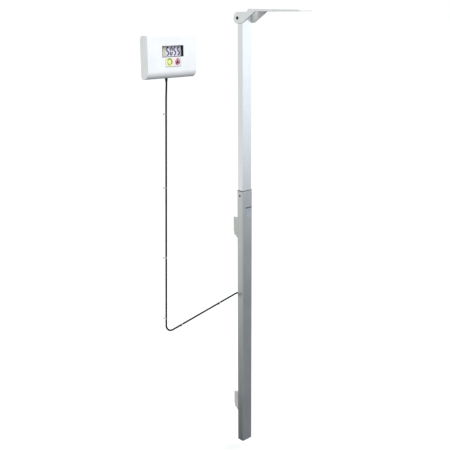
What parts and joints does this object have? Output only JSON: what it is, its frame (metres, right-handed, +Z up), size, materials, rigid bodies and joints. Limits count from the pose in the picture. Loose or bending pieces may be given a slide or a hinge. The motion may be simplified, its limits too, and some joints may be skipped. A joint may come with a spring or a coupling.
{
  "type": "wall-mounted digital height rod",
  "caption": "Wall-mounted telescoping height rod with a fold-down head piece and a wall display joined to it by a clipped lead.",
  "frame": {"origin": "midway between the two screw holes of the upper wall cleat, on the wall", "axes": "+X right along the wall, +Y into the wall, +Z up the rod"},
  "size_m": [0.3659, 0.2601, 1.35],
  "materials": {
    "anodised_aluminium": "satin anodised extrusion, fine vertical grain",
    "polished_aluminium": "bright anodised extrusion, fine vertical grain",
    "black_plastic": "moulded, fine matte grain",
    "dark_steel": "blackened screw",
    "foil_label": "thin printed foil",
    "zinc_steel": "zinc plated",
    "bracket_grey": "light grey powder coat",
    "rivet_aluminium": "plain",
    "circuit_board": "green solder mask",
    "black_rubber": "matte",
    "lead_jacket": "smooth flexible jacket",
    "white_plastic": "white moulding with a fine texture",
    "clear_window": "clear acrylic",
    "clear_plastic": "clear moulding",
    "lcd_glass": "reflective liquid crystal panel",
    "keypad_film": "printed film",
    "battery_wrap": "printed sleeve",
    "spring_steel": "nickel plated",
    "green_button": "soft rubber",
    "rose_button": "soft rubber",
    "white_nylon": "plain",
    "felt": "pressed felt",
    "brass_strip": "etched strip",
    "bronze": "sintered",
    "headpiece_white": "light grey-white moulding",
    "pin_steel": "ground"
  },
  "bodies": {
    "wall_unit": {"outer_tube": "anodised_aluminium", "bottom_end_cap": "black_plastic", "guide_collar": "black_plastic", "collar_screws": "dark_steel", "rod_label": "foil_label", "upper_wall_cleat": "zinc_steel", "lower_wall_cleat": "zinc_steel", "upper_hanger": "bracket_grey", "lower_hanger": "bracket_grey", "hanger_rivets": "rivet_aluminium", "reader_carrier": "black_plastic", "reader_board": "circuit_board", "reader_screws": "zinc_steel", "rod_grommet": "black_rubber", "lead": "lead_jacket", "lead_clips": "clear_plastic", "clip_screws": "zinc_steel", "display_strain_relief": "black_rubber", "display_front_shell": "white_plastic", "display_back_shell": "white_plastic", "shell_screws": "zinc_steel", "display_wall_plate": "zinc_steel", "lcd_bezel": "black_plastic", "lcd_window": "clear_window", "lcd_panel": "lcd_glass", "keypad_label": "keypad_film", "main_board": "circuit_board", "battery_cells": "battery_wrap", "battery_contacts": "spring_steel"},
    "inner_rod": {"inner_tube": "polished_aluminium", "slide_shoe": "white_nylon", "friction_pads": "felt", "measuring_strip": "brass_strip", "pivot_block": "black_plastic", "pivot_sleeve": "bronze"},
    "head": {"headpiece": "headpiece_white", "pivot_pin": "pin_steel", "pin_caps": "black_plastic", "pivot_washers": "white_nylon"},
    "power_key": {"power_button": "green_button"},
    "hold_key": {"hold_button": "rose_button"},
    "door": {"battery_door": "white_plastic"}
  },
  "joints": [
    {"name": "rod_slide", "type": "slide", "parent": "wall_unit", "child": "inner_rod", "axis": [0, 0, 1], "range_m": [-0.425, 0.01]},
    {"name": "headpiece_fold", "type": "hinge", "parent": "inner_rod", "child": "head", "pos_m": [0, -0.0291, 0.613], "axis": [1, 0, 0], "range_deg": [0, 90]},
    {"name": "power_press", "type": "slide", "parent": "wall_unit", "child": "power_key", "axis": [0, 1, 0], "range_m": [0, 0.001], "stiffness_N_per_m": 800, "springref_m": -0.0005},
    {"name": "hold_press", "type": "slide", "parent": "wall_unit", "child": "hold_key", "axis": [0, 1, 0], "range_m": [0, 0.001], "stiffness_N_per_m": 800, "springref_m": -0.0005},
    {"name": "battery_door_slide", "type": "slide", "parent": "wall_unit", "child": "door", "axis": [0, 0, -1], "range_m": [0, 0.06]}
  ]
}
